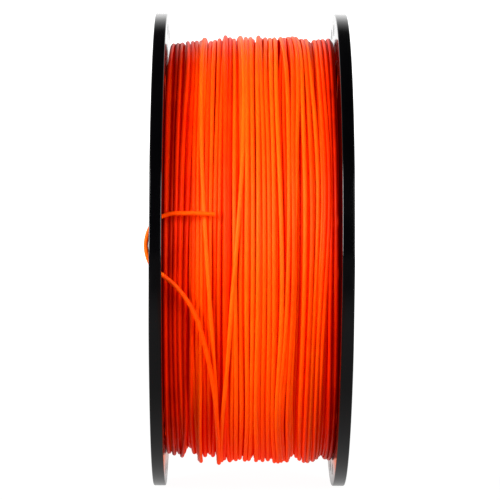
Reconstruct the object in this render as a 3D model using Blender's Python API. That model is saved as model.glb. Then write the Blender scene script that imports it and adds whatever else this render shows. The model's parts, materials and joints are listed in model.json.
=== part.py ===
"""Filament spool, wound full: two flanges snapped onto a core drum, and the filament.

Metres, +Z up. The spool's axis is X and the origin is the middle of its bore. Angles are
measured about X, from the front (-Y) towards the top (+Z). Every piece is modelled with X
along the axis and Z as its radius, and is then turned about X to its angle.
"""

import math

import bpy
from mathutils import Vector

# Flanges
FLANGE_RADIUS = 0.1000
FLANGE_WIDTH = 0.0050  # of the rim and the hub collar, along the axis
INSIDE_WIDTH = 0.0700  # between the two flanges
WEB_THICKNESS = 0.0024
RIM_WALL = 0.0026
EDGE_CHAMFER = 0.0008
RING_WALL = 0.0015
RING_HEIGHT = 0.0018  # of the stiffening ring, above the web
RING_OFFSET = 0.0022  # from the drum's surface out to the stiffening ring
RIB_COUNT = 6
RIB_THICKNESS = 0.0018
RIB_HEIGHT = 0.0015  # above the web

# Hub
BORE_RADIUS = 0.0275
COLLAR_WALL = 0.0025
SPIGOT_WALL = 0.0020
SPIGOT_LENGTH = 0.0080

# Core drum
DRUM_RADIUS = 0.0500
DRUM_WALL = 0.0022
BORE_TUBE_WALL = 0.0018
SPOKE_COUNT = 6
SPOKE_THICKNESS = 0.0018
SPOKE_RECESS = 0.0005  # from the drum's ends

# Snap hooks on the drum's ends
HOOK_COUNT = 6
HOOK_WIDTH = 0.0080
HOOK_THICKNESS = 0.0014
HOOK_INSET = 0.0005  # from the drum's surface
HOOK_ROOT = 0.0030
BARB_REACH = 0.0011
BARB_LENGTH = 0.0017
BARB_LEAD = 0.0004

# Holes in the flanges
END_HOLE_RADIUS = 0.0025
END_HOLE_INSET = 0.0070  # from the rim's edge to the holes' circle
END_HOLE_PAIRS = 4
END_HOLE_SPREAD = math.radians(12.9)  # between the two holes of a pair
END_HOLE_CENTRE = math.radians(0.9)  # of the front pair
SIGHT_SLOT_COUNT = 3
SIGHT_SLOT_WIDTH = 0.0070
SIGHT_SLOT_MARGIN = 0.0060  # to the stiffening ring and to the filament holes

# Filament
FILAMENT_DIAMETER = 0.00175
WINDING_INSET = 0.0108  # from the rims' edge down to the fullest layer
WINDING_SHOULDER = 0.0026  # how much lower the winding lies against the flanges
WINDING_STATIONS = 8

FIT_GAP = 0.0003
SEGMENTS = 72  # of a full turn
HALF_STEP = math.pi / SEGMENTS
HOLE_SEGMENTS = 12
EMBED = 0.0010  # how deep a joined piece reaches into its neighbour
SMOOTH_ANGLE = math.radians(30)

# Sizes that follow
WEB_FACE = INSIDE_WIDTH / 2
WEB_BACK = WEB_FACE + WEB_THICKNESS
OUTER_FACE = WEB_FACE + FLANGE_WIDTH
RIM_INNER_RADIUS = FLANGE_RADIUS - RIM_WALL
COLLAR_RADIUS = BORE_RADIUS + COLLAR_WALL
SPIGOT_RADIUS = BORE_RADIUS + SPIGOT_WALL
RING_RADIUS = DRUM_RADIUS + RING_OFFSET
DRUM_END = WEB_FACE - FIT_GAP
DRUM_INNER_RADIUS = DRUM_RADIUS - DRUM_WALL
TUBE_INNER_RADIUS = SPIGOT_RADIUS + FIT_GAP
TUBE_RADIUS = TUBE_INNER_RADIUS + BORE_TUBE_WALL
HOOK_OUTER = DRUM_RADIUS - HOOK_INSET
HOOK_INNER = HOOK_OUTER - HOOK_THICKNESS
LATCH_FACE = WEB_BACK + FIT_GAP
END_HOLE_CIRCLE = FLANGE_RADIUS - END_HOLE_INSET
WINDING_RADIUS = FLANGE_RADIUS - WINDING_INSET
WINDING_INNER_RADIUS = DRUM_RADIUS + FIT_GAP

# The free end's route: millimetres along X, degrees about the axis, millimetres from the
# axis. It leaves the winding underneath, runs up the front, goes out through the lower
# hole of the front pair in the left flange and comes back in through the upper one.
FREE_END_ROUTE = [
    (-12.5, -100.0, 90.5),
    (-12.7, -84.0, 90.5),
    (-12.9, -69.0, 90.5),
    (-13.2, -55.0, 90.5),
    (-13.8, -45.0, 90.5),
    (-14.8, -37.5, 90.6),
    (-16.4, -30.2, 90.8),
    (-18.6, -23.4, 91.1),
    (-21.3, -17.5, 91.5),
    (-25.0, -12.7, 92.0),
    (-29.6, -9.0, 92.5),
    (-34.7, -6.25, 93.0),
    (-37.3, -5.15, 93.0),
    (-39.4, -3.5, 93.0),
    (-40.7, -1.4, 93.0),
    (-41.2, 0.9, 93.0),
    (-40.7, 3.2, 93.0),
    (-39.4, 5.3, 93.0),
    (-37.3, 7.0, 93.0),
    (-34.7, 7.95, 93.0),
    (-31.0, 8.6, 92.8),
    (-26.0, 8.7, 92.6),
    (-20.0, 8.7, 92.4),
    (-14.4, 8.5, 92.2),
]
FREE_END_STEP = 0.0038  # between the tube's points


def remove_everything():
    for existing in list(bpy.data.objects):
        bpy.data.objects.remove(existing, do_unlink=True)


def plastic(name, colour, roughness):
    material = bpy.data.materials.new(name)
    material.use_nodes = True
    shader = material.node_tree.nodes["Principled BSDF"]
    shader.inputs["Base Color"].default_value = (*colour, 1.0)
    shader.inputs["Roughness"].default_value = roughness
    shader.inputs["Metallic"].default_value = 0.0
    return material


def add_object(name, data, material=None, angle=0.0):
    """Links an object, turned about the spool's axis."""
    piece = bpy.data.objects.new(name, data)
    piece.rotation_euler = (angle, 0.0, 0.0)
    if material:
        data.materials.append(material)
    bpy.context.scene.collection.objects.link(piece)
    return piece


def hide_as_helper(piece):
    piece.hide_render = True
    piece.display_type = "WIRE"
    return piece


def turned(name, outline, material=None):
    """A ring: a closed outline of (x, radius) points, clockwise, turned about X.

    The half step puts a facet, not a corner, at the bottom, where the rims stand.
    """
    mesh = bpy.data.meshes.new(name)
    last = len(outline) - 1
    edges = [(i, i + 1) for i in range(last)] + [(last, 0)]
    mesh.from_pydata([(x, 0.0, radius) for x, radius in outline], edges, [])
    piece = add_object(name, mesh, material, HALF_STEP)
    screw = piece.modifiers.new("turn", "SCREW")
    screw.axis = "X"
    screw.angle = math.tau
    screw.steps = SEGMENTS
    screw.render_steps = SEGMENTS
    screw.use_merge_vertices = True
    screw.merge_threshold = 0.00001
    screw.use_smooth_shade = True
    screw.use_normal_flip = True
    return piece


def prism(name, outline, low, high, axis, angle):
    """A helper solid: an outline extruded from low to high along local X or Y.

    The outline holds (y, radius) points for axis X and (x, radius) points for axis Y.
    """
    if axis == "X":
        ends = [[(at, y, radius) for y, radius in outline] for at in (low, high)]
    else:
        ends = [[(x, at, radius) for x, radius in outline] for at in (low, high)]
    count = len(outline)
    sides = [(i, (i + 1) % count, (i + 1) % count + count, i + count) for i in range(count)]
    caps = [tuple(reversed(range(count))), tuple(range(count, 2 * count))]
    mesh = bpy.data.meshes.new(name)
    mesh.from_pydata(ends[0] + ends[1], [], sides + caps)
    outward(mesh)
    return hide_as_helper(add_object(name, mesh, angle=to_turn(angle)))


def outward(mesh):
    """Turns a closed mesh's faces out, whichever way its outline ran."""
    volume = 0.0
    for face in mesh.polygons:
        corners = [mesh.vertices[i].co for i in face.vertices]
        for second, third in zip(corners[1:], corners[2:]):
            volume += corners[0].dot(second.cross(third))
    if volume < 0:
        mesh.flip_normals()


def to_turn(angle):
    """The turn about X that takes a piece's radius from +Z to an angle on the spool."""
    return math.pi / 2 - angle


def rectangle(low_a, high_a, low_b, high_b):
    return [(low_a, low_b), (high_a, low_b), (high_a, high_b), (low_a, high_b)]


def circle(radius, middle):
    """(y, radius) points of a round hole whose middle lies at a distance from the axis."""
    turns = [math.tau * i / HOLE_SEGMENTS for i in range(HOLE_SEGMENTS)]
    return [(radius * math.cos(turn), middle + radius * math.sin(turn)) for turn in turns]


def stadium(width, low, high):
    """(y, radius) points of a slot with round ends, its length along the radius."""
    half = width / 2
    arc = [math.pi * i / (HOLE_SEGMENTS / 2) for i in range(HOLE_SEGMENTS // 2 + 1)]
    top = [(half * math.cos(turn), high - half + half * math.sin(turn)) for turn in arc]
    bottom = [(-half * math.cos(turn), low + half - half * math.sin(turn)) for turn in arc]
    return top + bottom


def join(piece, operation, helpers):
    """One exact Boolean of a piece with a group of helper solids."""
    group = bpy.data.collections.new(f"{piece.name}_{operation.lower()}")
    bpy.context.scene.collection.children.link(group)
    for helper in helpers:
        bpy.context.scene.collection.objects.unlink(helper)
        group.objects.link(helper)
    boolean = piece.modifiers.new(operation.lower(), "BOOLEAN")
    boolean.operation = operation
    boolean.solver = "EXACT"
    boolean.operand_type = "COLLECTION"
    boolean.collection = group


def sided(outline, side):
    """An outline for the right side, mirrored for the left and kept clockwise."""
    if side > 0:
        return outline
    return [(-x, radius) for x, radius in reversed(outline)]


def bay_angles(count, offset=0.0):
    return [math.tau * i / count + offset for i in range(count)]


def flange(name, side, material):
    """Web, rim, hub collar, spigot, ribs; side is -1 on the left and 1 on the right."""
    outline = [
        (WEB_FACE - SPIGOT_LENGTH, BORE_RADIUS),
        (WEB_FACE - SPIGOT_LENGTH, SPIGOT_RADIUS),
        (WEB_FACE, SPIGOT_RADIUS),
        (WEB_FACE, FLANGE_RADIUS - EDGE_CHAMFER),
        (WEB_FACE + EDGE_CHAMFER, FLANGE_RADIUS),
        (OUTER_FACE - EDGE_CHAMFER, FLANGE_RADIUS),
        (OUTER_FACE, FLANGE_RADIUS - EDGE_CHAMFER),
        (OUTER_FACE, RIM_INNER_RADIUS),
        (WEB_BACK, RIM_INNER_RADIUS),
        (WEB_BACK, RING_RADIUS + RING_WALL),
        (WEB_BACK + RING_HEIGHT, RING_RADIUS + RING_WALL),
        (WEB_BACK + RING_HEIGHT, RING_RADIUS),
        (WEB_BACK, RING_RADIUS),
        (WEB_BACK, COLLAR_RADIUS),
        (OUTER_FACE, COLLAR_RADIUS),
        (OUTER_FACE, BORE_RADIUS),
    ]
    piece = turned(name, sided(outline, side), material)
    join(piece, "UNION", flange_ribs(name, side))
    join(piece, "DIFFERENCE", flange_holes(name, side))
    return piece


def flange_ribs(name, side):
    """Ribs from the hub collar to the rim, in the middle between two snap hooks."""
    low, high = sorted((side * (WEB_BACK - EMBED), side * (WEB_BACK + RIB_HEIGHT)))
    half = RIB_THICKNESS / 2
    outline = rectangle(-half, half, COLLAR_RADIUS - EMBED, RIM_INNER_RADIUS + EMBED)
    angles = bay_angles(RIB_COUNT, math.pi / RIB_COUNT)
    return [prism(f"{name}_rib_{i}", outline, low, high, "X", a) for i, a in enumerate(angles)]


def flange_holes(name, side):
    """Filament holes, sight slots and the snap hooks' windows, all right through the web."""
    low, high = sorted((side * (WEB_FACE - EMBED), side * (WEB_BACK + EMBED)))
    holes = []
    for i, middle in enumerate(bay_angles(END_HOLE_PAIRS, END_HOLE_CENTRE)):
        for j, turn in enumerate((-END_HOLE_SPREAD / 2, END_HOLE_SPREAD / 2)):
            outline = circle(END_HOLE_RADIUS, END_HOLE_CIRCLE)
            cutter = f"{name}_end_hole_{i}_{j}"
            holes.append(prism(cutter, outline, low, high, "X", middle + turn))
    slot = stadium(
        SIGHT_SLOT_WIDTH,
        RING_RADIUS + RING_WALL + SIGHT_SLOT_MARGIN,
        END_HOLE_CIRCLE - SIGHT_SLOT_MARGIN,
    )
    for i, angle in enumerate(bay_angles(SIGHT_SLOT_COUNT, math.pi / SIGHT_SLOT_COUNT)):
        holes.append(prism(f"{name}_sight_slot_{i}", slot, low, high, "X", angle))
    half = HOOK_WIDTH / 2 + FIT_GAP
    flexing_room = BARB_REACH + FIT_GAP
    window = rectangle(-half, half, HOOK_INNER - flexing_room, HOOK_OUTER + FIT_GAP)
    for i, angle in enumerate(bay_angles(HOOK_COUNT)):
        holes.append(prism(f"{name}_window_{i}", window, low, high, "X", angle))
    return holes


def core_drum(material):
    """The winding's drum, with its bore tube, spokes and a ring of snap hooks at each end."""
    wall = [
        (-DRUM_END, DRUM_INNER_RADIUS),
        (-DRUM_END, DRUM_RADIUS),
        (DRUM_END, DRUM_RADIUS),
        (DRUM_END, DRUM_INNER_RADIUS),
    ]
    tube = [
        (-DRUM_END, TUBE_INNER_RADIUS),
        (-DRUM_END, TUBE_RADIUS),
        (DRUM_END, TUBE_RADIUS),
        (DRUM_END, TUBE_INNER_RADIUS),
    ]
    piece = turned("core_drum", wall, material)
    reach = DRUM_END - SPOKE_RECESS
    half = SPOKE_THICKNESS / 2
    embed_tube = TUBE_RADIUS - BORE_TUBE_WALL / 2
    embed_wall = DRUM_INNER_RADIUS + DRUM_WALL / 2
    spoke = rectangle(-half, half, embed_tube, embed_wall)
    helpers = [hide_as_helper(turned("core_drum_bore_tube", tube))]
    for i, angle in enumerate(bay_angles(SPOKE_COUNT, math.pi / SPOKE_COUNT)):
        helpers.append(prism(f"core_drum_spoke_{i}", spoke, -reach, reach, "X", angle))
    for side in (-1, 1):
        for i, angle in enumerate(bay_angles(HOOK_COUNT)):
            helpers.append(snap_hook(f"core_drum_hook_{side}_{i}", side, angle))
    join(piece, "UNION", helpers)
    return piece


def snap_hook(name, side, angle):
    """A tongue that passes through the web and catches behind it with its barb."""
    outline = [
        (DRUM_END - HOOK_ROOT, HOOK_INNER),
        (DRUM_END - HOOK_ROOT, HOOK_OUTER),
        (LATCH_FACE, HOOK_OUTER),
        (LATCH_FACE, HOOK_OUTER + BARB_REACH),
        (LATCH_FACE + BARB_LENGTH, HOOK_OUTER - BARB_LEAD),
        (LATCH_FACE + BARB_LENGTH, HOOK_INNER),
    ]
    return prism(name, sided(outline, side), -HOOK_WIDTH / 2, HOOK_WIDTH / 2, "Y", angle)


def filament_winding(material):
    """The outer shape of all the turns, fuller in the middle than against the flanges."""
    half = WEB_FACE - FIT_GAP
    outer = []
    for i in range(WINDING_STATIONS + 1):
        share = 2 * i / WINDING_STATIONS - 1
        outer.append((half * share, WINDING_RADIUS - WINDING_SHOULDER * share**4))
    outline = [(-half, WINDING_INNER_RADIUS), *outer, (half, WINDING_INNER_RADIUS)]
    return turned("filament_winding", outline, material)


def smooth_route(stations, step):
    """Evenly spaced points on the smooth curve through a route's stations."""
    dense = []
    lead_in = 3 * stations[0] - 3 * stations[1] + stations[2]
    lead_out = 3 * stations[-1] - 3 * stations[-2] + stations[-3]
    padded = [lead_in, *stations, lead_out]
    samples = 40
    for before, start, end, after in zip(padded, padded[1:], padded[2:], padded[3:]):
        for i in range(samples):
            t = i / samples
            dense.append(
                0.5
                * (
                    2 * start
                    + (end - before) * t
                    + (2 * before - 5 * start + 4 * end - after) * t**2
                    + (3 * start - before - 3 * end + after) * t**3
                )
            )
    dense.append(stations[-1])
    run = [0.0]
    for start, end in zip(dense, dense[1:]):
        run.append(run[-1] + (end - start).length)
    count = max(2, round(run[-1] / step))
    points = []
    j = 0
    for i in range(count + 1):
        target = run[-1] * i / count
        while j < len(run) - 2 and run[j + 1] < target:
            j += 1
        share = (target - run[j]) / (run[j + 1] - run[j])
        points.append(dense[j].lerp(dense[j + 1], share))
    return points


def filament_end(material):
    """The free end, as a tube along its route."""
    stations = []
    for x, degrees, radius in FREE_END_ROUTE:
        angle = math.radians(degrees)
        y = -radius * math.cos(angle)
        z = radius * math.sin(angle)
        stations.append(Vector((x, y, z)) / 1000)
    points = smooth_route(stations, FREE_END_STEP)
    curve = bpy.data.curves.new("filament_end", "CURVE")
    curve.dimensions = "3D"
    curve.bevel_depth = FILAMENT_DIAMETER / 2
    curve.bevel_resolution = 2
    curve.use_fill_caps = True
    spline = curve.splines.new("POLY")
    spline.points.add(len(points) - 1)
    for control, point in zip(spline.points, points):
        control.co = (*point, 1.0)
    return add_object("filament_end", curve, material)


def main():
    remove_everything()
    black = plastic("black_plastic", (0.012, 0.012, 0.014), 0.25)
    orange = plastic("orange_filament", (0.90, 0.09, 0.01), 0.22)
    flange("flange_left", -1, black)
    flange("flange_right", 1, black)
    core_drum(black)
    filament_winding(orange)
    filament_end(orange)


main()
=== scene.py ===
import json
import math

import bmesh
import bpy
import numpy as np
from mathutils import Euler, Matrix, Vector

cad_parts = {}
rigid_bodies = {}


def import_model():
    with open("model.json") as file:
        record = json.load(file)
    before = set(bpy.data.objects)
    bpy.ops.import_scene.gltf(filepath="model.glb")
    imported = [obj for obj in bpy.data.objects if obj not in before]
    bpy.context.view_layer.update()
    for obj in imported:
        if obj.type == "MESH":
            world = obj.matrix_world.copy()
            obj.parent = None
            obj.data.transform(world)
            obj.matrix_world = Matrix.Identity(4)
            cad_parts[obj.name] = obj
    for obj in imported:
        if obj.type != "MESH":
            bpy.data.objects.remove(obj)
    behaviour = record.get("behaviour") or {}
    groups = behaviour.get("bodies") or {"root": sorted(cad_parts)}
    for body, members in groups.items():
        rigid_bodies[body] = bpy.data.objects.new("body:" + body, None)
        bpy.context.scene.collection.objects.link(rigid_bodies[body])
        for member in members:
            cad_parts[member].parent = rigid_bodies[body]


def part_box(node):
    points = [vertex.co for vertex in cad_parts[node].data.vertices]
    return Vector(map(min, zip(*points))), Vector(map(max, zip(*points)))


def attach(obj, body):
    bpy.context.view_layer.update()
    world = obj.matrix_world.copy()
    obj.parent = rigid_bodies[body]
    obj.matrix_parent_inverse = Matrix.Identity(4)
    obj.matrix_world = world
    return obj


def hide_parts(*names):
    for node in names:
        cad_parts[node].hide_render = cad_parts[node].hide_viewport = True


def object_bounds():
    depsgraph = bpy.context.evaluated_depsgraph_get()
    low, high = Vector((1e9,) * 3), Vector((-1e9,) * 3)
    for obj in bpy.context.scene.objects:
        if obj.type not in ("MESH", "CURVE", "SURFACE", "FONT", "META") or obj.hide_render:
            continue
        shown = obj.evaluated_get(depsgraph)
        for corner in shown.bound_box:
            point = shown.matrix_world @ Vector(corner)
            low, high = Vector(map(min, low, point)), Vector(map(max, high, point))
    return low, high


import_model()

CAD_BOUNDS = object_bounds()
MM = 0.001

# ---------------------------------------------------------------------------
# Sizes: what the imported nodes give, and the small features that a box can't
# ---------------------------------------------------------------------------
CAD_HALF_STEP = math.pi / 72  # the nodes' facets touch the true circle only at their corners
FLANGE_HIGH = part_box("flange_right")[1]
OUTER_FACE = FLANGE_HIGH[0]
FLANGE_RADIUS = FLANGE_HIGH[2] / math.cos(CAD_HALF_STEP)
WINDING_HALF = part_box("filament_winding")[1][0]
WINDING_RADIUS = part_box("filament_winding")[1][2] / math.cos(CAD_HALF_STEP)
DRUM_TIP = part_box("core_drum")[1][0]

FIT_GAP = 0.3 * MM
WEB_FACE = WINDING_HALF + FIT_GAP
WEB_BACK = WEB_FACE + 2.4 * MM
RIM_WALL = 2.6 * MM
RING_RADIUS = 52.2 * MM
RING_WALL = 1.5 * MM
RING_HEIGHT = 1.8 * MM
RIB_COUNT = 6
RIB_THICKNESS = 1.8 * MM
RIB_HEIGHT = 1.5 * MM
BORE_RADIUS = 27.5 * MM
COLLAR_WALL = 2.5 * MM
SPIGOT_WALL = 2.0 * MM
SPIGOT_LENGTH = 8.0 * MM
DRUM_RADIUS = 50.0 * MM
DRUM_WALL = 2.2 * MM
BORE_TUBE_WALL = 1.8 * MM
SPOKE_THICKNESS = 1.8 * MM
HOOK_COUNT = 6
HOOK_WIDTH = 8.0 * MM
HOOK_OUTER = 49.5 * MM
HOOK_INNER = 48.1 * MM
HOOK_ROOT = 3.0 * MM
BARB_REACH = 1.1 * MM
BARB_LEAD = 0.4 * MM
END_HOLE_RADIUS = 2.5 * MM
END_HOLE_CIRCLE = FLANGE_RADIUS - 7.0 * MM
END_HOLE_PAIRS = 4
END_HOLE_SPREAD = math.radians(12.9)
END_HOLE_CENTRE = math.radians(0.9)
SIGHT_SLOT_COUNT = 3
SIGHT_SLOT_WIDTH = 7.0 * MM
SIGHT_SLOT_MARGIN = 6.0 * MM
EMBED = 1.0 * MM

SEGMENTS = 240  # of a full turn
DRUM_SEGMENTS = 120
HOLE_SEGMENTS = 32
EDGE_ROUND = 0.45 * MM  # of the rim
SMALL_ROUND = 0.35 * MM
ARC_STEPS = 5
SPOKE_INSET = 0.5 * MM  # of a spoke's ends from the drum's
TURNED_SHARP = math.radians(40)  # edges past this angle stay sharp
MOULDED_SHARP = math.radians(35)
STRAND_SHARP = math.radians(50)

FILAMENT_RADIUS = 0.875 * MM
FILAMENT_SIDES = 10

# ---------------------------------------------------------------------------
# Camera: level, a little left of the spool's middle, rolled a quarter of a degree
# ---------------------------------------------------------------------------
CAMERA_DISTANCE = 1.093
CAMERA_AZIMUTH = math.radians(-0.48)
CAMERA_ROLL = math.radians(0.25)
CAMERA_AIM = Vector((0.0001, 0.0, -0.0002))
CAMERA_LENS = 185.0
SENSOR_WIDTH = 36.0


def make_camera():
    camera = bpy.data.cameras.new("camera")
    camera.lens = CAMERA_LENS
    camera.sensor_width = SENSOR_WIDTH
    holder = bpy.data.objects.new("camera", camera)
    side = CAMERA_DISTANCE * math.sin(CAMERA_AZIMUTH)
    back = CAMERA_DISTANCE * math.cos(CAMERA_AZIMUTH)
    holder.location = Vector((side, -back, 0.0)) + CAMERA_AIM
    level = Euler((math.pi / 2, 0.0, CAMERA_AZIMUTH)).to_matrix()
    holder.rotation_euler = (level @ Matrix.Rotation(CAMERA_ROLL, 3, "Z")).to_euler()
    bpy.context.scene.collection.objects.link(holder)
    bpy.context.scene.camera = holder


# ---------------------------------------------------------------------------
# Node helpers
# ---------------------------------------------------------------------------
def new_material(name):
    material = bpy.data.materials.new(name)
    material.use_nodes = True
    nodes = material.node_tree.nodes
    return material, nodes, material.node_tree.links, nodes["Principled BSDF"]


def noise(nodes, links, vector, scale, detail=4.0, roughness=0.5):
    texture = nodes.new("ShaderNodeTexNoise")
    texture.inputs["Scale"].default_value = scale
    texture.inputs["Detail"].default_value = detail
    texture.inputs["Roughness"].default_value = roughness
    links.new(vector, texture.inputs["Vector"])
    return texture.outputs["Fac"]


def ranged(nodes, links, value, low, high, from_low=0.0, from_high=1.0):
    node = nodes.new("ShaderNodeMapRange")
    node.inputs["From Min"].default_value = from_low
    node.inputs["From Max"].default_value = from_high
    node.inputs["To Min"].default_value = low
    node.inputs["To Max"].default_value = high
    links.new(value, node.inputs["Value"])
    return node.outputs["Result"]


def mixed_colour(nodes, links, share, low, high):
    node = nodes.new("ShaderNodeMix")
    node.data_type = "RGBA"
    node.inputs["A"].default_value = (*low, 1.0)
    node.inputs["B"].default_value = (*high, 1.0)
    links.new(share, node.inputs["Factor"])
    return node.outputs["Result"]


def calculated(nodes, links, operation, *values):
    """A math node on other nodes' outputs and plain numbers."""
    node = nodes.new("ShaderNodeMath")
    node.operation = operation
    for socket, value in zip(node.inputs, values):
        if isinstance(value, float):
            socket.default_value = value
        else:
            links.new(value, socket)
    return node.outputs[0]


def bumped(nodes, links, height, strength, distance):
    node = nodes.new("ShaderNodeBump")
    node.inputs["Strength"].default_value = strength
    node.inputs["Distance"].default_value = distance
    links.new(height, node.inputs["Height"])
    return node.outputs["Normal"]


# FILAMENT_DEEP is the deep red that painted shade takes the strands towards, near the flanges and on
# the inner turns.
FILAMENT_DEEP = (0.22, 0.002, 0.0002)
FILAMENT_MIDDLE = (0.84, 0.024, 0.0008)
FILAMENT_BRIGHT = (0.94, 0.138, 0.0050)
FILAMENT_MIDDLE_AT = 0.3
FILAMENT_MOTTLE = 0.20  # how much of the shade comes from mottling
FILAMENT_MOTTLE_SCALE = 90.0
FILAMENT_FINE_SCALE = 1400.0
FILAMENT_ROUGHNESS = (0.34, 0.46)
FILAMENT_BUMP = 0.12
FINE_HEIGHT = 0.05 * MM


def filament_plastic():
    """Extruded orange plastic: a soft sheen, a little translucent, each stretch a shade apart, with
    painted shade near the flanges and on the lower turns.

    The faint red emission stands for light that the strands pass on to one another.
    """
    material, nodes, links, shader = new_material("orange_filament")
    # The tone attribute carries each stretch's own shade and also painted shade near the flanges and on
    # the lower turns.
    tone_and_painted_shade = nodes.new("ShaderNodeAttribute")
    tone_and_painted_shade.attribute_name = "tone_and_painted_shade"
    place = nodes.new("ShaderNodeTexCoord").outputs["Object"]
    mottle = noise(nodes, links, place, FILAMENT_MOTTLE_SCALE, 3.0)
    shade = tone_and_painted_shade.outputs["Fac"]
    blend = calculated(nodes, links, "MULTIPLY_ADD", mottle, FILAMENT_MOTTLE, shade)
    ramp = nodes.new("ShaderNodeValToRGB")
    stops = ramp.color_ramp.elements
    stops[0].position = 0.0
    stops[0].color = (*FILAMENT_DEEP, 1.0)
    stops[1].position = 1.0
    stops[1].color = (*FILAMENT_BRIGHT, 1.0)
    middle = stops.new(FILAMENT_MIDDLE_AT)
    middle.color = (*FILAMENT_MIDDLE, 1.0)
    links.new(blend, ramp.inputs["Fac"])
    links.new(ramp.outputs["Color"], shader.inputs["Base Color"])
    fine = noise(nodes, links, place, FILAMENT_FINE_SCALE, 2.0)
    links.new(ranged(nodes, links, fine, *FILAMENT_ROUGHNESS), shader.inputs["Roughness"])
    links.new(bumped(nodes, links, fine, FILAMENT_BUMP, FINE_HEIGHT), shader.inputs["Normal"])
    shader.inputs["IOR"].default_value = 1.46
    shader.inputs["Specular IOR Level"].default_value = 0.12
    shader.inputs["Specular Tint"].default_value = (1.0, 0.75, 0.5, 1.0)
    shader.inputs["Subsurface Weight"].default_value = 0.5
    shader.inputs["Subsurface Radius"].default_value = (1.0, 0.6, 0.3)
    shader.inputs["Subsurface Scale"].default_value = 0.0008
    shader.inputs["Emission Color"].default_value = (1.0, 0.012, 0.0, 1.0)
    shader.inputs["Emission Strength"].default_value = 0.07
    return material


BLACK_DARK = (0.0010, 0.0010, 0.0012)
BLACK_LIGHT = (0.0024, 0.0023, 0.0027)
BLACK_PATCH_SCALE = 35.0
BLACK_GRAIN_SCALE = 900.0
BLACK_ROUGHNESS = (0.10, 0.18)
BLACK_BUMP = 0.10


def black_plastic():
    """Moulded black plastic: glossy, with a faint grain and slightly duller patches."""
    material, nodes, links, shader = new_material("black_plastic")
    place = nodes.new("ShaderNodeTexCoord").outputs["Object"]
    patches = noise(nodes, links, place, BLACK_PATCH_SCALE, 5.0, 0.6)
    grain = noise(nodes, links, place, BLACK_GRAIN_SCALE, 3.0)
    colour = mixed_colour(nodes, links, patches, BLACK_DARK, BLACK_LIGHT)
    links.new(colour, shader.inputs["Base Color"])
    links.new(ranged(nodes, links, patches, *BLACK_ROUGHNESS), shader.inputs["Roughness"])
    links.new(bumped(nodes, links, grain, BLACK_BUMP, FINE_HEIGHT), shader.inputs["Normal"])
    shader.inputs["IOR"].default_value = 1.5
    return material


# ---------------------------------------------------------------------------
# Pieces
# ---------------------------------------------------------------------------
def add_piece(name, mesh, material, slot, *nodes):
    piece = bpy.data.objects.new(name, mesh)
    bpy.context.scene.collection.objects.link(piece)
    if not mesh.materials:
        mesh.materials.append(material)
    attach(piece, "root")
    if nodes:
        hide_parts(*nodes)
    return piece


def on_spool(x, angle, radius):
    """A point from its place along the axis, its angle from the front, and its radius."""
    return Vector((x, -radius * math.cos(angle), radius * math.sin(angle)))


# The free end's route, as the CAD has it: millimetres along X, degrees about the axis,
# millimetres from the axis.
FREE_END_ROUTE = [
    (-12.5, -100.0, 90.5),
    (-12.7, -84.0, 90.5),
    (-12.9, -69.0, 90.5),
    (-13.2, -55.0, 90.5),
    (-13.8, -45.0, 90.5),
    (-14.8, -37.5, 90.6),
    (-16.4, -30.2, 90.8),
    (-18.6, -23.4, 91.1),
    (-21.3, -17.5, 91.5),
    (-25.0, -12.7, 92.0),
    (-29.6, -9.0, 92.5),
    (-34.7, -6.25, 93.0),
    (-37.3, -5.15, 93.0),
    (-39.4, -3.5, 93.0),
    (-40.7, -1.4, 93.0),
    (-41.2, 0.9, 93.0),
    (-40.7, 3.2, 93.0),
    (-39.4, 5.3, 93.0),
    (-37.3, 7.0, 93.0),
    (-34.7, 7.95, 93.0),
    (-31.0, 8.6, 92.8),
    (-26.0, 8.7, 92.6),
    (-20.0, 8.7, 92.4),
    (-14.4, 8.5, 92.2),
]
FREE_END_STEP = 1.2 * MM
ROUTE_STEPS = 40  # from one station to the next, before the points are spaced evenly
FREE_END_SIDES = 16
FREE_END_TONE = 0.55
# Painted backlight: the loop outside the flange, seen against the light, gets the brightest tone.
LOOP_BACKLIT_TONE = 1.0  # outside the flange, against the light


def smooth_route(stations, step):
    """Evenly spaced points on the smooth curve through a route's stations."""
    lead_in = 3 * stations[0] - 3 * stations[1] + stations[2]
    lead_out = 3 * stations[-1] - 3 * stations[-2] + stations[-3]
    padded = np.array([lead_in, *stations, lead_out])
    t = (np.arange(ROUTE_STEPS) / ROUTE_STEPS)[:, None]
    stretches = []
    for before, start, end, after in zip(padded, padded[1:], padded[2:], padded[3:]):
        linear = (end - before) * t
        square = (2 * before - 5 * start + 4 * end - after) * t**2
        cube = (3 * start - before - 3 * end + after) * t**3
        stretches.append(0.5 * (2 * start + linear + square + cube))
    dense = np.vstack([*stretches, stations[-1:]])
    run = np.concatenate([[0.0], np.cumsum(np.linalg.norm(np.diff(dense, axis=0), axis=1))])
    count = round(run[-1] / step)
    at = np.linspace(0.0, run[-1], count + 1)
    return np.column_stack([np.interp(at, run, dense[:, i]) for i in range(3)])


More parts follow.
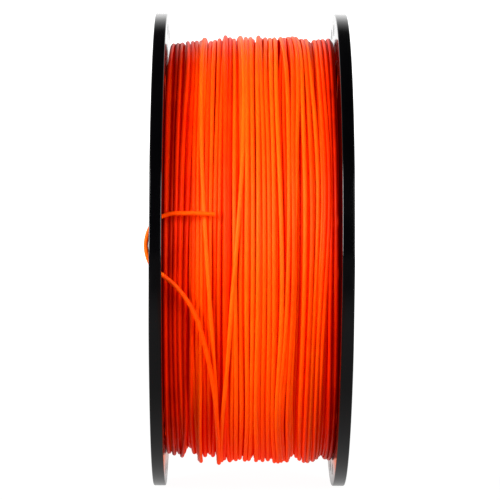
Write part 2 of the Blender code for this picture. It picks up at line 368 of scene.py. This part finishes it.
def tube_mesh(name, points, radius, sides, tones):
    """A tube around points, its rings square to the run, with closed ends."""
    points = np.asarray(points)
    tangents = np.gradient(points, axis=0)
    tangents /= np.linalg.norm(tangents, axis=1)[:, None]
    radial = points * (0.0, 1.0, 1.0)
    radial /= np.linalg.norm(radial, axis=1)[:, None]
    radial -= (radial * tangents).sum(axis=1)[:, None] * tangents
    radial /= np.linalg.norm(radial, axis=1)[:, None]
    across = np.cross(tangents, radial)
    turn = math.tau * np.arange(sides) / sides
    outward = radial[:, None, :] * np.cos(turn)[None, :, None]
    sideways = across[:, None, :] * np.sin(turn)[None, :, None]
    ring = outward + sideways
    verts = (points[:, None, :] + radius * ring).reshape(-1, 3)
    count = len(points)
    row = np.arange(count - 1)[:, None] * sides
    here = np.arange(sides)[None, :]
    after = (here + 1) % sides
    faces = np.stack([row + here, row + after, row + sides + after, row + sides + here], axis=-1)
    faces = faces.reshape(-1, 4).tolist()
    faces.append(list(range(sides))[::-1])
    faces.append([(count - 1) * sides + i for i in range(sides)])
    mesh = bpy.data.meshes.new(name)
    mesh.from_pydata(verts.tolist(), [], faces)
    mesh.shade_smooth()
    mesh.set_sharp_from_angle(angle=STRAND_SHARP)
    attribute = mesh.attributes.new("tone_and_painted_shade", "FLOAT", "POINT")
    attribute.data.foreach_set("value", np.repeat(np.asarray(tones, np.float32), sides))
    return mesh


def make_free_end(material):
    stations = [on_spool(x * MM, math.radians(a), r * MM) for x, a, r in FREE_END_ROUTE]
    points = smooth_route(np.array(stations), FREE_END_STEP)
    # the loop's brighter tone is painted backlight
    tones = np.where(points[:, 0] < -WINDING_HALF, LOOP_BACKLIT_TONE, FREE_END_TONE)
    mesh = tube_mesh("filament_free_end", points, FILAMENT_RADIUS, FREE_END_SIDES, tones)
    piece = add_piece("filament_free_end", mesh, material, "orange_filament", "filament_end")


# ---------------------------------------------------------------------------
# The winding: its inner turns as one ridged body, its outer layers as real strands
# ---------------------------------------------------------------------------
TURN_STEPS = 144
CELL = 0.1 * MM  # of the height field along the axis
PITCHES = (1.86 * MM, 1.90 * MM, 2.18 * MM)  # of the three outer layers, from the inside
BED_RADIUS = WINDING_RADIUS - 3.75 * MM
SINK = 0.32 * MM  # how far a strand beds into the ones that it rests on
HIGHEST = WINDING_RADIUS - 0.15 * MM  # of a strand's middle, past which it is held down
SQUEEZE = 0.5  # the share of its height past that which it keeps: held strands overlap
EDGE_DROP = 0.8 * MM
EDGE_DROP_POWER = 8
EDGE_CALM = 6.0 * MM  # this close to a flange the turns wander less
EDGE_LOOSENESS = 0.1  # and at the flange only this share of it
FREE_END_X = FREE_END_ROUTE[0][0] * MM
FREE_END_ANGLE = math.radians(FREE_END_ROUTE[0][1])
FREE_END_RADIUS = FREE_END_ROUTE[0][2] * MM
WINDING_SEED = 21
WANDER = 0.75 * MM
WANDER_STRETCH = 30  # steps between its random values
SEARCH_CELLS = 9  # how far to each side a strand looks for a lower place
SIDEWAYS_COST = 450.0  # of a strand's climb, in metres for each square metre of sideways shift
RUN_IN = 30  # steps of the turn before that smooth the next one's start
SETTLING_ROUNDS = 6
FINISH_STEPS = TURN_STEPS / 5  # over which the last turn runs into the free end
LUMP_COUNT = 60
LUMP_HEIGHT = 0.20 * MM
LUMP_WIDTHS = (2 * MM, 5 * MM)
LUMP_LENGTHS = (0.4, 1.0)  # in radians
# Shades run from 0, a deep red, to 1, a bright orange
# Lower layers get darker tones and the inner turns darker still: painted shade for the gaps and depths
# they lie in.
LAYER_TONES = (0.40, 0.47, 0.58)
# Painted shade: strands near the flanges are darkened towards deep red, standing in for the shadow that
# the flanges cast on the winding.
LAYER_FLANGE_SHADES = (0.05, 0.42, 0.58)  # how much deeper a layer's shade gets at the flanges
LAST_TURNS_TONE = 0.72
INNER_TONE = 0.15
RIDGE_STEPS = 4  # on each ridge of the inner turns
# The painted flange shadow reaches this far in from the left and the right flange.
FLANGE_SHADE_REACH = (14 * MM, 8 * MM)  # how far from the left and right flange the deeper shade reaches
FLANGE_SHADE_POWER = 1.5
TONE_WANDER = 0.18
TONE_STRETCH = 60  # steps between its random values
TONE_RANGE = (0.05, 0.9)
# Where the turns underneath lie lower: along the axis (mm), angle (degrees), half width
# (mm), half length (degrees), depth (mm)
HOLLOWS = [
    (-12.0, -72.0, 4.0, 34.0, 1.9),
    (-25.0, -86.0, 3.2, 26.0, 3.4),
    (-31.0, -90.0, 6.0, 60.0, 0.6),
    (-28.0, 90.0, 7.0, 60.0, 0.4),
]
PARTING_GAIN = 1.6
# Where the outer turns part: along the axis (mm), angle (degrees), half width (mm), half
# length (degrees), push (mm)
PARTINGS = [
    (-24.9, -84.0, 3.0, 22.0, 1.6),
    (-9.1, -86.0, 2.2, 16.0, 1.0),
    (6.3, -86.0, 2.5, 18.0, 1.3),
    (19.1, -86.0, 2.5, 18.0, 1.3),
    (-20.0, 150.0, 4.0, 25.0, 1.6),
    (8.0, 175.0, 4.0, 30.0, 1.6),
    (22.0, 205.0, 4.0, 25.0, 1.4),
    (0.0, 235.0, 4.0, 25.0, 1.4),
]
# Where the outer turns lean sideways: the same, with the shift last
BENDS = [
    (26.5, 14.0, 5.0, 26.0, 2.4),
    (14.0, -46.0, 5.0, 22.0, -2.2),
    (-1.0, -48.0, 4.0, 20.0, 0.9),
    (2.5, -46.0, 2.5, 20.0, -1.2),
    (-26.0, 55.0, 4.0, 22.0, 1.1),
    (-30.0, -20.0, 4.0, 30.0, -1.0),
    (8.0, 50.0, 5.0, 22.0, -1.4),
    (18.0, 60.0, 5.0, 20.0, 1.3),
    (-10.0, 140.0, 6.0, 25.0, 2.2),
    (15.0, 160.0, 6.0, 28.0, -2.2),
    (-20.0, 215.0, 6.0, 25.0, -2.0),
    (25.0, 235.0, 6.0, 25.0, 2.0),
]
# The last two turns cross the others: degrees before the free end starts, and place
# along the axis (mm)
LAST_TURNS = [
    (-800.0, -17.6),
    (-760.0, -16.0),
    (-720.0, -12.2),
    (-690.0, -12.2),
    (-668.0, -12.8),
    (-647.0, -14.9),
    (-631.0, -16.6),
    (-618.0, -17.9),
    (-608.0, -18.8),
    (-592.0, -19.9),
    (-560.0, -20.3),
    (-500.0, -18.5),
    (-430.0, -14.0),
    (-360.0, -10.9),
    (-330.0, -11.2),
    (-313.0, -11.4),
    (-292.0, -9.7),
    (-276.0, -8.0),
    (-263.0, -6.4),
    (-246.0, -4.0),
    (-219.0, -2.6),
    (-197.0, -3.4),
    (-150.0, -6.0),
    (-80.0, -10.6),
    (-30.0, -12.3),
    (0.0, -12.5),
]


def smoothed(values, width):
    """Gaussian smoothing of a run of values, its ends held."""
    reach = int(3 * width)
    kernel = np.exp(-0.5 * (np.arange(-reach, reach + 1) / width) ** 2)
    kernel /= kernel.sum()
    padded = np.concatenate([np.full(reach, values[0]), values, np.full(reach, values[-1])])
    return np.convolve(padded, kernel, mode="valid")


def wander(rng, count, stretch, amount):
    """Smooth noise along a strand: one random value every stretch steps."""
    knots = rng.normal(0.0, 1.0, count // stretch + 3)
    run = np.interp(np.arange(count) / stretch, np.arange(len(knots)), knots)
    return amount * smoothed(run, stretch / 3)


def angle_between(a, b):
    return (a - b + math.pi) % math.tau - math.pi


def pushed(x, angle):
    """How far the partings and bends push a strand sideways."""
    push = np.zeros_like(x)
    for middle, at, width, length, shift in BENDS:
        across = (x - middle * MM) / (width * MM)
        along = angle_between(angle, math.radians(at)) / math.radians(length)
        push += shift * MM * np.exp(-(across**2)) * np.exp(-(along**2))
    for middle, at, width, length, amount in PARTINGS:
        across = (x - middle * MM) / (width * MM)
        along = angle_between(angle, math.radians(at)) / math.radians(length)
        push += PARTING_GAIN * amount * MM * across * np.exp(-(across**2)) * np.exp(-(along**2))
    return push


class Bed:
    """The winding's surface so far: a height for each step of a turn and cell along X."""

    def __init__(self, rng):
        self.count = int(round(2 * WINDING_HALF / CELL)) + 1
        self.x = np.linspace(-WINDING_HALF, WINDING_HALF, self.count)
        self.angle = FREE_END_ANGLE + math.tau * np.arange(TURN_STEPS) / TURN_STEPS
        share = np.abs(self.x) / WINDING_HALF
        profile = BED_RADIUS - EDGE_DROP * share**EDGE_DROP_POWER
        lumps = np.zeros((TURN_STEPS, self.count))
        for _ in range(LUMP_COUNT):
            middle = rng.uniform(-WINDING_HALF, WINDING_HALF)
            at = rng.uniform(0, math.tau)
            across = (self.x - middle) / rng.uniform(*LUMP_WIDTHS)
            along = angle_between(self.angle, at) / rng.uniform(*LUMP_LENGTHS)
            height = rng.normal(0.0, LUMP_HEIGHT)
            lumps += height * np.exp(-(along[:, None] ** 2)) * np.exp(-(across[None, :] ** 2))
        for middle, at, width, length, depth in HOLLOWS:
            across = (self.x - middle * MM) / (width * MM)
            along = angle_between(self.angle, math.radians(at)) / math.radians(length)
            lumps -= depth * MM * np.exp(-(along[:, None] ** 2)) * np.exp(-(across[None, :] ** 2))
        self.height = profile[None, :] + lumps
        self.reach = int(FILAMENT_RADIUS / CELL)
        offsets = np.arange(-self.reach, self.reach + 1) * CELL
        self.cap = np.sqrt(FILAMENT_RADIUS**2 - offsets**2)

    def resting(self):
        """How far from the axis a strand's middle would rest, for each step and cell."""
        wall = np.full((TURN_STEPS, self.reach), self.height.max() + 4 * FILAMENT_RADIUS)
        padded = np.concatenate([wall, self.height, wall], axis=1)
        rest = np.full_like(self.height, -1.0)
        for k, cap in enumerate(self.cap):
            rest = np.maximum(rest, padded[:, k : k + self.count] + cap)
        rest -= SINK
        return np.minimum(rest, HIGHEST + SQUEEZE * (rest - HIGHEST))

    def column(self, x):
        return np.clip(np.round((x + WINDING_HALF) / CELL).astype(int), 0, self.count - 1)

    def lay(self, rows, x, radius):
        """Adds a strand's top to the heights."""
        middle = self.column(x)
        for k, cap in enumerate(self.cap):
            column = np.clip(middle + k - self.reach, 0, self.count - 1)
            self.height[rows, column] = np.maximum(self.height[rows, column], radius + cap)


def planned_layer(rng, start_x, end_x, pitch):
    """Where one layer's strand would run from start_x to end_x, turn beside turn."""
    turns = max(1, round(abs(end_x - start_x) / pitch))
    count = turns * TURN_STEPS + 1
    index = np.arange(count)
    angle = FREE_END_ANGLE + math.tau * index / TURN_STEPS
    loose = np.clip(np.minimum(index, count - 1 - index) / TURN_STEPS, 0.0, 1.0)
    even = np.linspace(start_x, end_x, count)
    loose *= np.clip((WINDING_HALF - np.abs(even)) / EDGE_CALM, EDGE_LOOSENESS, 1.0)
    planned = even + wander(rng, count, WANDER_STRETCH, WANDER) * loose
    return planned + pushed(planned, angle) * loose


def last_turns():
    """Where the last two turns run, on a smooth curve through their listed places."""
    at, places = np.array(LAST_TURNS).T
    steps = np.arange(-2 * TURN_STEPS, 1)
    dense = np.interp(steps * 360 / TURN_STEPS, at, places) * MM
    return smoothed(dense, 4)


def wound(bed, planned, finish=False):
    """A strand along its planned places, each turn bedded between its neighbours."""
    limit = WINDING_HALF - FILAMENT_RADIUS
    planned = np.clip(planned, -limit, limit)
    count = len(planned)
    index = np.arange(count)
    angle = FREE_END_ANGLE + math.tau * index / TURN_STEPS
    x = planned.copy()
    radius = np.zeros(count)
    offsets = np.arange(-SEARCH_CELLS, SEARCH_CELLS + 1) * CELL
    for first in range(0, count - 1, TURN_STEPS):
        last = count if first + TURN_STEPS >= count - 1 else first + TURN_STEPS
        rows = index[first:last] % TURN_STEPS
        rest = bed.resting()
        tries = np.clip(planned[first:last, None] + offsets[None, :], -limit, limit)
        cost = rest[rows[:, None], bed.column(tries)] + SIDEWAYS_COST * offsets[None, :] ** 2
        shift = offsets[np.argmin(cost, axis=1)]
        run_in = max(0, first - RUN_IN)
        before = x[run_in:first] - planned[run_in:first]
        run = smoothed(np.concatenate([before, shift]), 5)[len(before) :]
        x[first:last] = planned[first:last] + run
        needed = rest[rows, bed.column(x[first:last])]
        settled = needed.copy()
        for _ in range(SETTLING_ROUNDS):
            settled = np.maximum(needed, smoothed(settled, 3))
        radius[first:last] = smoothed(settled, 1.5)
        bed.lay(rows, x[first:last], radius[first:last])
    x = smoothed(x, 2)
    radius = smoothed(radius, 2)
    if finish:
        near = np.clip(1 - (count - 1 - index) / FINISH_STEPS, 0.0, 1.0)
        near = near * near * (3 - 2 * near)
        x += (FREE_END_X - x) * near
        radius += (FREE_END_RADIUS - radius) * near
    return x, angle, radius


def strand_tones_with_painted_shade(rng, x, middle, depth):
    """A strand's tone along its run, with painted shade darkening it near the flanges by up to depth.
    """
    left = np.clip((x + WINDING_HALF) / FLANGE_SHADE_REACH[0], 0.0, 1.0)
    right = np.clip((WINDING_HALF - x) / FLANGE_SHADE_REACH[1], 0.0, 1.0)
    # painted shade: darker towards each flange, where the flange's shadow falls
    deeper = depth * (1 - np.minimum(left, right) ** FLANGE_SHADE_POWER)
    shade = middle + wander(rng, len(x), TONE_STRETCH, TONE_WANDER)
    return np.clip(shade, *TONE_RANGE) - deeper


def make_winding(material):
    rng = np.random.default_rng(WINDING_SEED)
    bed = Bed(rng)
    bulk = bed.height.copy()
    edge = WINDING_HALF - FILAMENT_RADIUS
    last = last_turns()
    inner = planned_layer(rng, edge, -edge, PITCHES[0])
    middle = planned_layer(rng, -edge, edge, PITCHES[1])
    outer = planned_layer(rng, edge, last[0], PITCHES[2])
    plans = [inner, middle, np.append(outer[:-1], last)]
    for number, planned in enumerate(plans, 1):
        x, angle, radius = wound(bed, planned, finish=number == len(plans))
        points = np.column_stack([x, -radius * np.cos(angle), radius * np.sin(angle)])
        name = f"winding_layer_{number}"
        tones = strand_tones_with_painted_shade(rng, x, LAYER_TONES[number - 1], LAYER_FLANGE_SHADES[number - 1])
        if number == len(plans):
            tones[-2 * TURN_STEPS :] = LAST_TURNS_TONE
        mesh = tube_mesh(name, points, FILAMENT_RADIUS, FILAMENT_SIDES, tones)
        add_piece(name, mesh, material, "orange_filament", "filament_winding")
    make_inner_turns(material, bulk.min() - FILAMENT_RADIUS / 2)


def make_inner_turns(material, outer):
    """The turns below the outer layers: a ring with a ridge for every turn on its two ends and its
    outside.
    """
    inner = DRUM_RADIUS + FIT_GAP
    ridge = FILAMENT_RADIUS
    side_turns = int((outer - inner) / (2 * ridge))
    outline = []
    for i in range(side_turns):
        middle = inner + (2 * i + 1) * ridge
        for step in range(RIDGE_STEPS):
            turn = math.pi * step / RIDGE_STEPS
            x = -WINDING_HALF + ridge * (1 - math.sin(turn))
            outline.append((x, middle - ridge * math.cos(turn)))
    top = inner + 2 * side_turns * ridge
    across = int(2 * (WINDING_HALF - ridge) / (2 * ridge))
    width = 2 * (WINDING_HALF - ridge) / across
    for i in range(across):
        for step in range(RIDGE_STEPS):
            turn = math.pi * step / RIDGE_STEPS
            x = -WINDING_HALF + ridge + width * (i + 0.5 - 0.5 * math.cos(turn))
            outline.append((x, top + ridge * math.sin(turn)))
    left = [(x, radius) for x, radius in outline if radius < top and x < 0]
    outline += [(WINDING_HALF - ridge, top)]
    outline += [(-x, radius) for x, radius in reversed(left)]
    mesh = turned_mesh("winding_inner_turns", outline)
    # The inner turns' low tone is painted shade below the outer layers.
    attribute = mesh.attributes.new("tone_and_painted_shade", "FLOAT", "POINT")
    attribute.data.foreach_set("value", np.full(len(mesh.vertices), INNER_TONE, np.float32))
    add_piece("winding_inner_turns", mesh, material, "orange_filament", "filament_winding")


# ---------------------------------------------------------------------------
# Turned and moulded shapes
# ---------------------------------------------------------------------------
def turned_mesh(name, outline, segments=SEGMENTS):
    """A closed outline of (x, radius) points, clockwise, turned about X."""
    outline = np.array(outline)
    count = len(outline)
    turn = math.tau * np.arange(segments) / segments
    x = np.broadcast_to(outline[None, :, 0], (segments, count))
    y = -outline[None, :, 1] * np.cos(turn)[:, None]
    z = outline[None, :, 1] * np.sin(turn)[:, None]
    verts = np.stack([x, y, z], axis=-1).reshape(-1, 3)
    faces = []
    for i in range(segments):
        j = (i + 1) % segments
        for k in range(count):
            after = (k + 1) % count
            faces.append((i * count + k, i * count + after, j * count + after, j * count + k))
    mesh = bpy.data.meshes.new(name)
    mesh.from_pydata(verts.tolist(), [], faces)
    mesh.shade_smooth()
    mesh.set_sharp_from_angle(angle=TURNED_SHARP)
    return mesh


def rounded(corners):
    """An outline with its corners rounded: (x, radius, round) points, clockwise."""
    outline = []
    count = len(corners)
    for i, (x, radius, size) in enumerate(corners):
        here = Vector((x, radius))
        if not size:
            outline.append((x, radius))
            continue
        before = (Vector(corners[i - 1][:2]) - here).normalized()
        after = (Vector(corners[(i + 1) % count][:2]) - here).normalized()
        middle = here + (before + after) * size
        for step in range(ARC_STEPS + 1):
            turn = math.pi / 2 * step / ARC_STEPS
            spot = middle - after * size * math.cos(turn) - before * size * math.sin(turn)
            outline.append((spot.x, spot.y))
    return outline


def prism(name, outline, low, high, axis, angle):
    """A helper solid: an outline extruded from low to high along X or Y, turned to an angle."""
    if axis == "X":
        ends = [[(at, y, radius) for y, radius in outline] for at in (low, high)]
    else:
        ends = [[(x, at, radius) for x, radius in outline] for at in (low, high)]
    count = len(outline)
    sides = [(i, (i + 1) % count, (i + 1) % count + count, i + count) for i in range(count)]
    caps = [tuple(reversed(range(count))), tuple(range(count, 2 * count))]
    mesh = bpy.data.meshes.new(name)
    mesh.from_pydata(ends[0] + ends[1], [], sides + caps)
    shape = bmesh.new()
    shape.from_mesh(mesh)
    bmesh.ops.recalc_face_normals(shape, faces=shape.faces)
    shape.to_mesh(mesh)
    shape.free()
    mesh.transform(Matrix.Rotation(math.pi / 2 - angle, 4, "X"))
    helper = bpy.data.objects.new(name, mesh)
    return helper


def combined(mesh, additions, cuts):
    """The mesh with additions joined on and cuts taken out."""
    scene = bpy.context.scene
    body = bpy.data.objects.new(mesh.name, mesh)
    scene.collection.objects.link(body)
    groups = []
    for operation, helpers in (("UNION", additions), ("DIFFERENCE", cuts)):
        if not helpers:
            continue
        group = bpy.data.collections.new(operation.lower())
        scene.collection.children.link(group)
        for helper in helpers:
            group.objects.link(helper)
        boolean = body.modifiers.new(operation.lower(), "BOOLEAN")
        boolean.operation = operation
        boolean.solver = "EXACT"
        boolean.operand_type = "COLLECTION"
        boolean.collection = group
        groups.append(group)
    seen = bpy.context.evaluated_depsgraph_get()
    result = bpy.data.meshes.new_from_object(body.evaluated_get(seen))
    bpy.data.objects.remove(body)
    for group in groups:
        for helper in list(group.objects):
            bpy.data.objects.remove(helper)
        bpy.data.collections.remove(group)
    result.shade_smooth()
    result.set_sharp_from_angle(angle=MOULDED_SHARP)
    return result


def rectangle(low_a, high_a, low_b, high_b):
    return [(low_a, low_b), (high_a, low_b), (high_a, high_b), (low_a, high_b)]


def circle(radius, middle):
    turns = [math.tau * i / HOLE_SEGMENTS for i in range(HOLE_SEGMENTS)]
    return [(radius * math.cos(turn), middle + radius * math.sin(turn)) for turn in turns]


def stadium(width, low, high):
    half = width / 2
    half_segments = HOLE_SEGMENTS // 2
    arc = [math.pi * i / half_segments for i in range(half_segments + 1)]
    top = [(half * math.cos(turn), high - half + half * math.sin(turn)) for turn in arc]
    bottom = [(-half * math.cos(turn), low + half - half * math.sin(turn)) for turn in arc]
    return top + bottom


def bay_angles(count, offset=0.0):
    return [math.tau * i / count + offset for i in range(count)]


def sided(outline, side):
    return outline if side > 0 else [(-point[0], *point[1:]) for point in reversed(outline)]


def make_flange(name, side, material):
    rim_inner = FLANGE_RADIUS - RIM_WALL
    collar = BORE_RADIUS + COLLAR_WALL
    spigot = BORE_RADIUS + SPIGOT_WALL
    small = SMALL_ROUND
    corners = [
        (WEB_FACE - SPIGOT_LENGTH, BORE_RADIUS, small),
        (WEB_FACE - SPIGOT_LENGTH, spigot, small),
        (WEB_FACE, spigot, 0.0),
        (WEB_FACE, FLANGE_RADIUS, EDGE_ROUND),
        (OUTER_FACE, FLANGE_RADIUS, EDGE_ROUND),
        (OUTER_FACE, rim_inner, small),
        (WEB_BACK, rim_inner, small),
        (WEB_BACK, RING_RADIUS + RING_WALL, small),
        (WEB_BACK + RING_HEIGHT, RING_RADIUS + RING_WALL, small),
        (WEB_BACK + RING_HEIGHT, RING_RADIUS, small),
        (WEB_BACK, RING_RADIUS, small),
        (WEB_BACK, collar, small),
        (OUTER_FACE, collar, small),
        (OUTER_FACE, BORE_RADIUS, small),
    ]
    mesh = turned_mesh(name, sided(rounded(corners), side))
    low, high = sorted((side * (WEB_BACK - EMBED), side * (WEB_BACK + RIB_HEIGHT)))
    half = RIB_THICKNESS / 2
    outline = rectangle(-half, half, collar - EMBED, rim_inner + EMBED)
    angles = bay_angles(RIB_COUNT, math.pi / RIB_COUNT)
    ribs = [prism(f"rib_{i}", outline, low, high, "X", a) for i, a in enumerate(angles)]
    piece_mesh = combined(mesh, ribs, flange_holes(side))
    add_piece(f"{name}_moulding", piece_mesh, material, "black_plastic", name)


def flange_holes(side):
    low, high = sorted((side * (WEB_FACE - EMBED), side * (WEB_BACK + EMBED)))
    holes = []
    for i, middle in enumerate(bay_angles(END_HOLE_PAIRS, END_HOLE_CENTRE)):
        for j, turn in enumerate((-END_HOLE_SPREAD / 2, END_HOLE_SPREAD / 2)):
            outline = circle(END_HOLE_RADIUS, END_HOLE_CIRCLE)
            holes.append(prism(f"end_hole_{i}_{j}", outline, low, high, "X", middle + turn))
    slot = stadium(
        SIGHT_SLOT_WIDTH,
        RING_RADIUS + RING_WALL + SIGHT_SLOT_MARGIN,
        END_HOLE_CIRCLE - SIGHT_SLOT_MARGIN,
    )
    for i, angle in enumerate(bay_angles(SIGHT_SLOT_COUNT, math.pi / SIGHT_SLOT_COUNT)):
        holes.append(prism(f"sight_slot_{i}", slot, low, high, "X", angle))
    half = HOOK_WIDTH / 2 + FIT_GAP
    flexing_room = BARB_REACH + FIT_GAP
    window = rectangle(-half, half, HOOK_INNER - flexing_room, HOOK_OUTER + FIT_GAP)
    for i, angle in enumerate(bay_angles(HOOK_COUNT)):
        holes.append(prism(f"window_{i}", window, low, high, "X", angle))
    return holes


def ring_outline(half, inner, outer):
    return [(-half, inner), (-half, outer), (half, outer), (half, inner)]


def make_drum(material):
    drum_end = WEB_FACE - FIT_GAP
    tube_inner = BORE_RADIUS + SPIGOT_WALL + FIT_GAP
    tube_outer = tube_inner + BORE_TUBE_WALL
    wall_inner = DRUM_RADIUS - DRUM_WALL
    wall = ring_outline(drum_end, wall_inner, DRUM_RADIUS)
    tube = ring_outline(drum_end, tube_inner, tube_outer)
    helpers = [bpy.data.objects.new("bore_tube", turned_mesh("bore_tube", tube, DRUM_SEGMENTS))]
    half = SPOKE_THICKNESS / 2
    spoke = rectangle(-half, half, tube_outer - BORE_TUBE_WALL / 2, wall_inner + DRUM_WALL / 2)
    reach = drum_end - SPOKE_INSET
    for i, angle in enumerate(bay_angles(HOOK_COUNT, math.pi / HOOK_COUNT)):
        helpers.append(prism(f"spoke_{i}", spoke, -reach, reach, "X", angle))
    latch = WEB_BACK + FIT_GAP
    outline = [
        (drum_end - HOOK_ROOT, HOOK_INNER),
        (drum_end - HOOK_ROOT, HOOK_OUTER),
        (latch, HOOK_OUTER),
        (latch, HOOK_OUTER + BARB_REACH),
        (DRUM_TIP, HOOK_OUTER - BARB_LEAD),
        (DRUM_TIP, HOOK_INNER),
    ]
    for side in (-1, 1):
        for i, angle in enumerate(bay_angles(HOOK_COUNT)):
            hook = sided(outline, side)
            helpers.append(prism(f"hook_{side}_{i}", hook, -HOOK_WIDTH / 2, HOOK_WIDTH / 2, "Y", angle))
    mesh = combined(turned_mesh("drum", wall, DRUM_SEGMENTS), helpers, [])
    add_piece("core_drum_moulding", mesh, material, "black_plastic", "core_drum")


# ---------------------------------------------------------------------------
# Studio: pale floor, pale surroundings, two soft boxes
# ---------------------------------------------------------------------------
# What the floor and the surroundings give as light: from and to which strength, and
# between which two places
FLOOR_HALF = 12.0
FLOOR_GREY = (0.06, 0.06, 0.06)
FLOOR_ROUGHNESS = 0.9
FLOOR_GLOW = (0.02, 0.26, -0.36, -0.20)  # over Y
FLOOR_REAR = (0.0, 0.55, -0.10, 0.04)  # over Y
FLOOR_WIDE = (0.0, 0.70, 0.08, 0.20)  # over the distance to the side
FLOOR_NEAR = (0.0, 1.0, -0.60, -0.40)  # over Y
FLOOR_SEEN = 0.975
FLOOR_TINT = (1.7, 0.45, 0.25)  # under the spool
FLOOR_TINT_EDGE = (0.0, 1.0, 0.020, 0.028)
WORLD_BEHIND = (0.0, 1.0, 0.2, 0.6)  # over Y
WORLD_LOW = (1.0, 0.0, 0.45, 0.75)  # over Z
WORLD_REAR = (0.04, 1.5)
WORLD_FLANK = (0.0, 0.90, 0.15, 0.95)  # over the distance to the side
WORLD_HIGHER = (0.25, 1.0, -0.5, 0.6)  # over Z
GAMMA = 0.92
BLACK_LEVEL = 0.003


def make_floor():
    """White where it is looked at; as light, bright behind, orange under the spool."""
    mesh = bpy.data.meshes.new("floor")
    low = CAD_BOUNDS[0][2]
    corners = rectangle(-FLOOR_HALF, FLOOR_HALF, -FLOOR_HALF, FLOOR_HALF)
    mesh.from_pydata([(x, y, low) for x, y in corners], [], [(0, 1, 2, 3)])
    floor = bpy.data.objects.new("floor", mesh)
    bpy.context.scene.collection.objects.link(floor)
    material, nodes, links, shader = new_material("floor_white")
    shader.inputs["Base Color"].default_value = (*FLOOR_GREY, 1.0)
    shader.inputs["Roughness"].default_value = FLOOR_ROUGHNESS
    shader.inputs["Specular IOR Level"].default_value = 0.0
    place = nodes.new("ShaderNodeTexCoord").outputs["Object"]
    split = nodes.new("ShaderNodeSeparateXYZ")
    links.new(place, split.inputs[0])
    along = split.outputs["Y"]
    glow = ranged(nodes, links, along, *FLOOR_GLOW)
    rear = ranged(nodes, links, along, *FLOOR_REAR)
    both = calculated(nodes, links, "ADD", glow, rear)
    aside = calculated(nodes, links, "ABSOLUTE", split.outputs["X"])
    wide = ranged(nodes, links, aside, *FLOOR_WIDE)
    near = ranged(nodes, links, along, *FLOOR_NEAR)
    total = calculated(nodes, links, "MULTIPLY_ADD", wide, near, both)
    seen = nodes.new("ShaderNodeLightPath").outputs["Is Camera Ray"]
    white = ranged(nodes, links, seen, 0.0, FLOOR_SEEN)
    strength = calculated(nodes, links, "MAXIMUM", white, total)
    links.new(strength, shader.inputs["Emission Strength"])
    outside = ranged(nodes, links, aside, *FLOOR_TINT_EDGE)
    untinted = calculated(nodes, links, "MAXIMUM", outside, seen)
    tint = mixed_colour(nodes, links, untinted, FLOOR_TINT, (1.0, 1.0, 1.0))
    links.new(tint, shader.inputs["Emission Color"])
    mesh.materials.append(material)


def soft_box(name, place, width, height, power):
    """An area lamp that looks at the spool's middle."""
    light = bpy.data.lights.new(name, "AREA")
    light.shape = "RECTANGLE"
    light.size = width
    light.size_y = height
    light.energy = power
    holder = bpy.data.objects.new(name, light)
    holder.location = place
    inwards = Vector((0.0, 0.0, 0.0)) - Vector(place)
    holder.rotation_euler = inwards.to_track_quat("-Z", "Y").to_euler()
    bpy.context.scene.collection.objects.link(holder)


def make_world():
    """White where it is looked at; as light, bright behind and low and on both flanks."""
    world = bpy.data.worlds.new("studio")
    bpy.context.scene.world = world
    world.use_nodes = True
    nodes = world.node_tree.nodes
    links = world.node_tree.links
    background = nodes["Background"]
    place = nodes.new("ShaderNodeTexCoord").outputs["Generated"]
    split = nodes.new("ShaderNodeSeparateXYZ")
    links.new(place, split.inputs[0])
    behind = ranged(nodes, links, split.outputs["Y"], *WORLD_BEHIND)
    low = ranged(nodes, links, split.outputs["Z"], *WORLD_LOW)
    both = calculated(nodes, links, "MULTIPLY", behind, low)
    rear = ranged(nodes, links, both, *WORLD_REAR)
    aside = calculated(nodes, links, "ABSOLUTE", split.outputs["X"])
    flank = ranged(nodes, links, aside, *WORLD_FLANK)
    higher = ranged(nodes, links, split.outputs["Z"], *WORLD_HIGHER)
    graded = calculated(nodes, links, "MULTIPLY", flank, higher)
    joined = calculated(nodes, links, "MAXIMUM", rear, graded)
    seen = nodes.new("ShaderNodeLightPath").outputs["Is Camera Ray"]
    strength = calculated(nodes, links, "MAXIMUM", joined, seen)
    background.inputs["Color"].default_value = (1.0, 1.0, 1.0, 1.0)
    links.new(strength, background.inputs["Strength"])


def make_studio():
    scene = bpy.context.scene
    scene.view_settings.view_transform = "Standard"
    scene.view_settings.gamma = GAMMA
    scene.view_settings.use_curve_mapping = True
    scene.view_settings.curve_mapping.black_level = (BLACK_LEVEL, BLACK_LEVEL, BLACK_LEVEL)
    scene.view_settings.curve_mapping.update()
    make_floor()
    make_world()
    soft_box("key_left", (-1.45, -1.30, 0.55), width=1.1, height=1.2, power=72.0)
    soft_box("fill_right", (1.20, -1.55, 0.45), width=1.3, height=1.3, power=38.0)


make_camera()
orange = filament_plastic()
black = black_plastic()
make_free_end(orange)
make_winding(orange)
make_flange("flange_left", -1, black)
make_flange("flange_right", 1, black)
make_drum(black)
make_studio()
